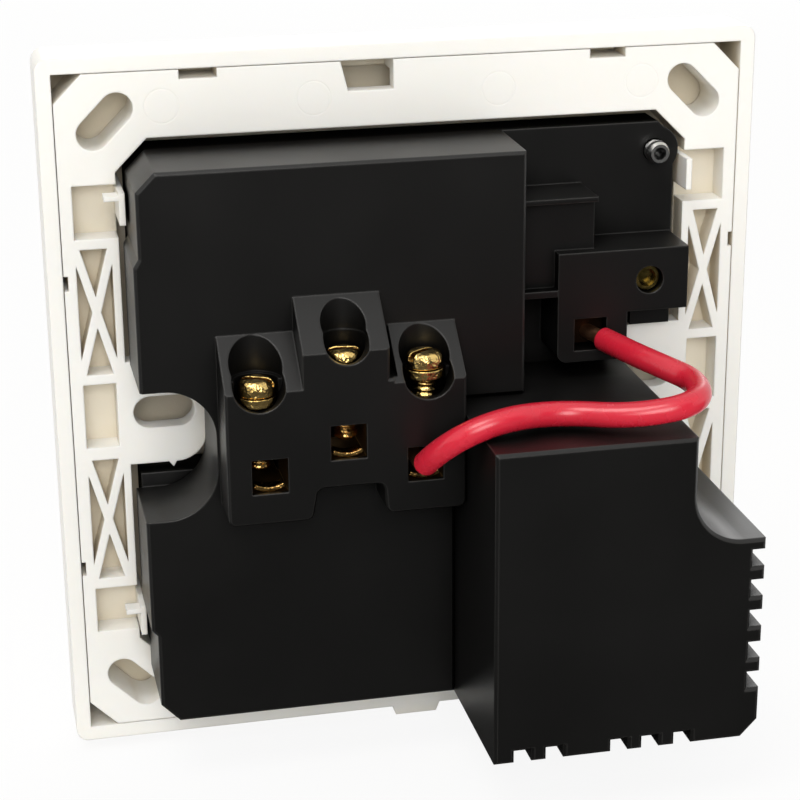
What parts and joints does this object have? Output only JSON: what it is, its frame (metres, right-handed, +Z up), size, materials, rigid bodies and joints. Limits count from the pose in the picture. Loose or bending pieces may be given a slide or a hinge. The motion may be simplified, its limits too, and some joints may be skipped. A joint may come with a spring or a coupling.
{
  "type": "usb wall socket",
  "caption": "Square flush wall outlet with a three-pin socket, rocker switch and USB charger box, with rear terminals, ribbed mounting frame and a red link wire.",
  "frame": {"origin": "centre of the plate on the wall line, midway between the two fixing slots on the rear face of their ears", "axes": "+Z up the plate, +Y rearward into the wall, +X to the right of the front face"},
  "size_m": [0.086, 0.0418, 0.0872],
  "materials": {
    "white_plastic": "satin moulded",
    "black_plastic": "satin moulded",
    "brass": "turned",
    "steel": "plated",
    "copper": "drawn copper",
    "red_pvc": "glossy extruded",
    "board": "solder mask",
    "winding": "wrapped tape",
    "sleeve": "shrunk sleeve"
  },
  "bodies": {
    "outlet": {"front_cover": "white_plastic", "mounting_frame": "white_plastic", "rear_base": "black_plastic", "usb_case": "black_plastic", "live_contact": "brass", "neutral_contact": "brass", "earth_contact": "brass", "terminal_screws": "brass", "terminal_washers": "brass", "switch_clamp": "brass", "switch_screw": "brass", "contact_leaf": "brass", "assembly_screw": "steel", "usb_board": "board", "usb_shells": "steel", "usb_tongues": "white_plastic", "transformer": "winding", "capacitors": "sleeve", "link_wire": "red_pvc", "link_wire_cores": "copper"},
    "switch_rocker": {"rocker": "white_plastic"},
    "pin_shutter": {"shutter": "white_plastic"}
  },
  "joints": [
    {"name": "rocker_hinge", "type": "hinge", "parent": "outlet", "child": "switch_rocker", "pos_m": [-0.0233, -0.0046, 0.0175], "axis": [1, 0, 0], "range_deg": [0, 11]},
    {"name": "shutter_slide", "type": "slide", "parent": "outlet", "child": "pin_shutter", "axis": [0, 0, -1], "range_m": [0, 0.005], "stiffness_N_per_m": 60, "springref_m": -0.004}
  ]
}
